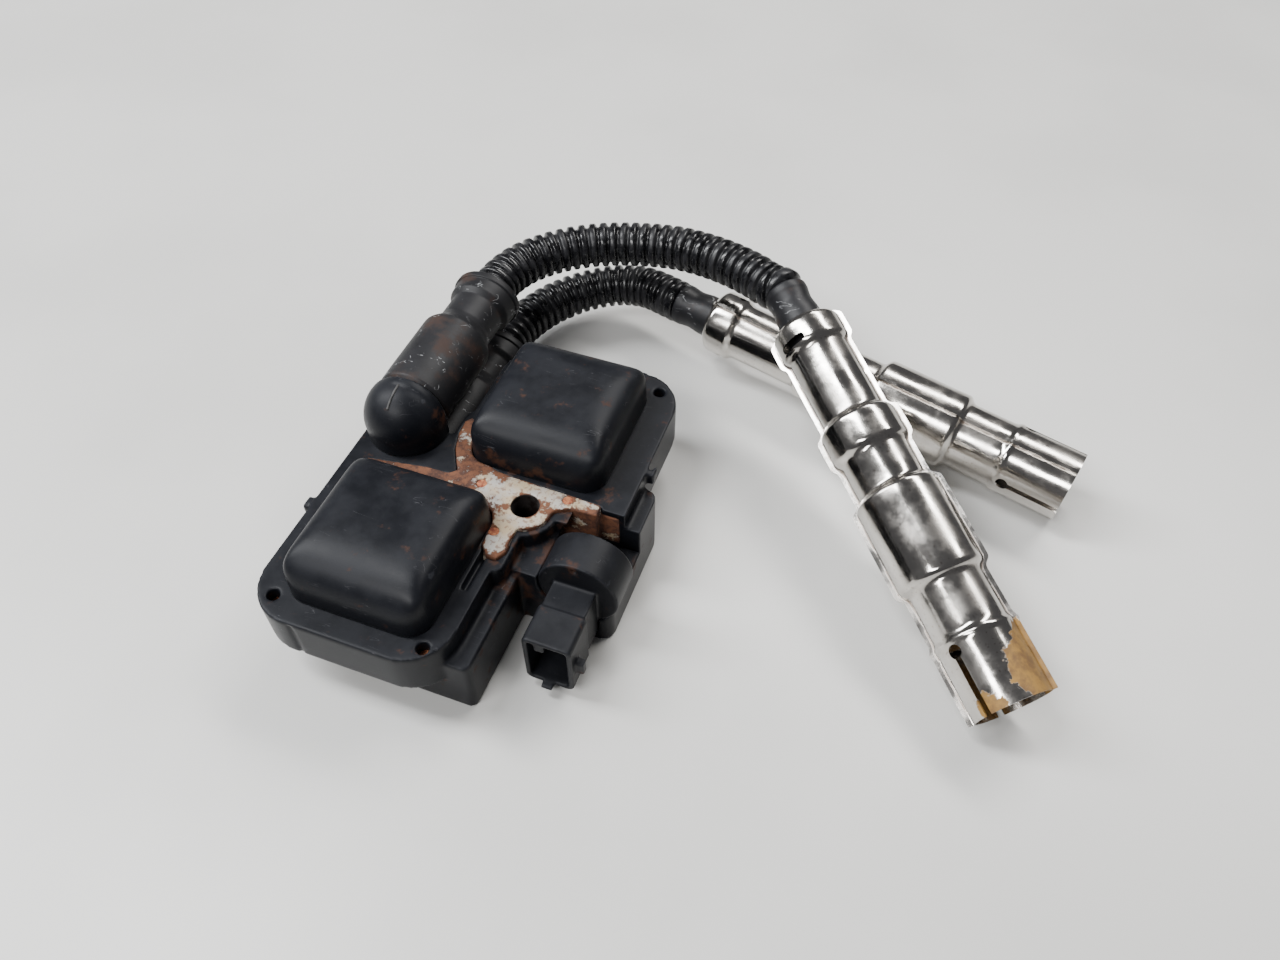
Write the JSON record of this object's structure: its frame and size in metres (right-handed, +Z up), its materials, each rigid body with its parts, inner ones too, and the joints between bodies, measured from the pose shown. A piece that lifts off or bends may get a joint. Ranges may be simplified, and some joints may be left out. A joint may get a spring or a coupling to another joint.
{
  "type": "ignition coil",
  "caption": "Twin-outlet ignition coil with a laminated core, a keyed connector and sealed leads in corrugated conduit that end in slotted metal plug shrouds.",
  "frame": {"origin": "axis of the mounting hole at the underside of the core", "axes": "+Z up along the mounting hole, +Y the way the lead towers point, -Y the way the connector points"},
  "size_m": [0.1841, 0.1568, 0.0441],
  "materials": {
    "moulded_plastic": "satin",
    "connector_plastic": "satin",
    "painted_core": "aged paint",
    "rusty_steel": "rusted",
    "bobbin_nylon": "matt",
    "copper_wire": "enamelled",
    "potting_resin": "cast",
    "terminal_brass": "plain",
    "tinned_contact": "tinned",
    "boot_rubber": "matt",
    "conduit_plastic": "gloss",
    "suppressor_ceramic": "matt",
    "tin_plate": "bright with wear"
  },
  "bodies": {
    "coil": {"housing": "moulded_plastic", "front_cover": "moulded_plastic", "rear_cover": "moulded_plastic", "core": "painted_core", "core_rivets": "rusty_steel", "flange_pins": "rusty_steel", "connector_shell": "connector_plastic", "connector_pins": "tinned_contact", "upper_tower": "moulded_plastic", "lower_tower": "moulded_plastic", "front_primary_bobbin": "bobbin_nylon", "front_secondary_bobbin": "bobbin_nylon", "front_primary_winding": "copper_wire", "front_secondary_winding": "copper_wire", "front_potting": "potting_resin", "rear_primary_bobbin": "bobbin_nylon", "rear_secondary_bobbin": "bobbin_nylon", "rear_primary_winding": "copper_wire", "rear_secondary_winding": "copper_wire", "rear_potting": "potting_resin", "upper_tower_post": "terminal_brass", "upper_boot_terminal": "terminal_brass", "upper_boot": "boot_rubber", "upper_conduit": "conduit_plastic", "upper_sleeve": "boot_rubber", "upper_plug_boot": "boot_rubber", "upper_plug_contact": "terminal_brass", "upper_suppressor": "suppressor_ceramic", "lower_tower_post": "terminal_brass", "lower_boot_terminal": "terminal_brass", "lower_boot": "boot_rubber", "lower_conduit": "conduit_plastic", "lower_sleeve": "boot_rubber", "lower_plug_boot": "boot_rubber", "lower_plug_contact": "terminal_brass", "lower_suppressor": "suppressor_ceramic"},
    "upper_shroud": {"upper_shroud_top_half": "tin_plate", "upper_shroud_bottom_half": "tin_plate"},
    "lower_shroud": {"lower_shroud_top_half": "tin_plate", "lower_shroud_bottom_half": "tin_plate"}
  },
  "joints": [
    {"name": "upper_shroud_turn", "type": "hinge", "parent": "coil", "child": "upper_shroud", "pos_m": [0.1228, -0.0048, -0.0017], "axis": [-0.652, 0.7267, 0.2164], "range_deg": [-90, 90]},
    {"name": "lower_shroud_turn", "type": "hinge", "parent": "coil", "child": "lower_shroud", "pos_m": [0.1288, 0.0657, -0.0008], "axis": [-0.9682, 0.2486, 0.0297], "range_deg": [-90, 90]}
  ]
}
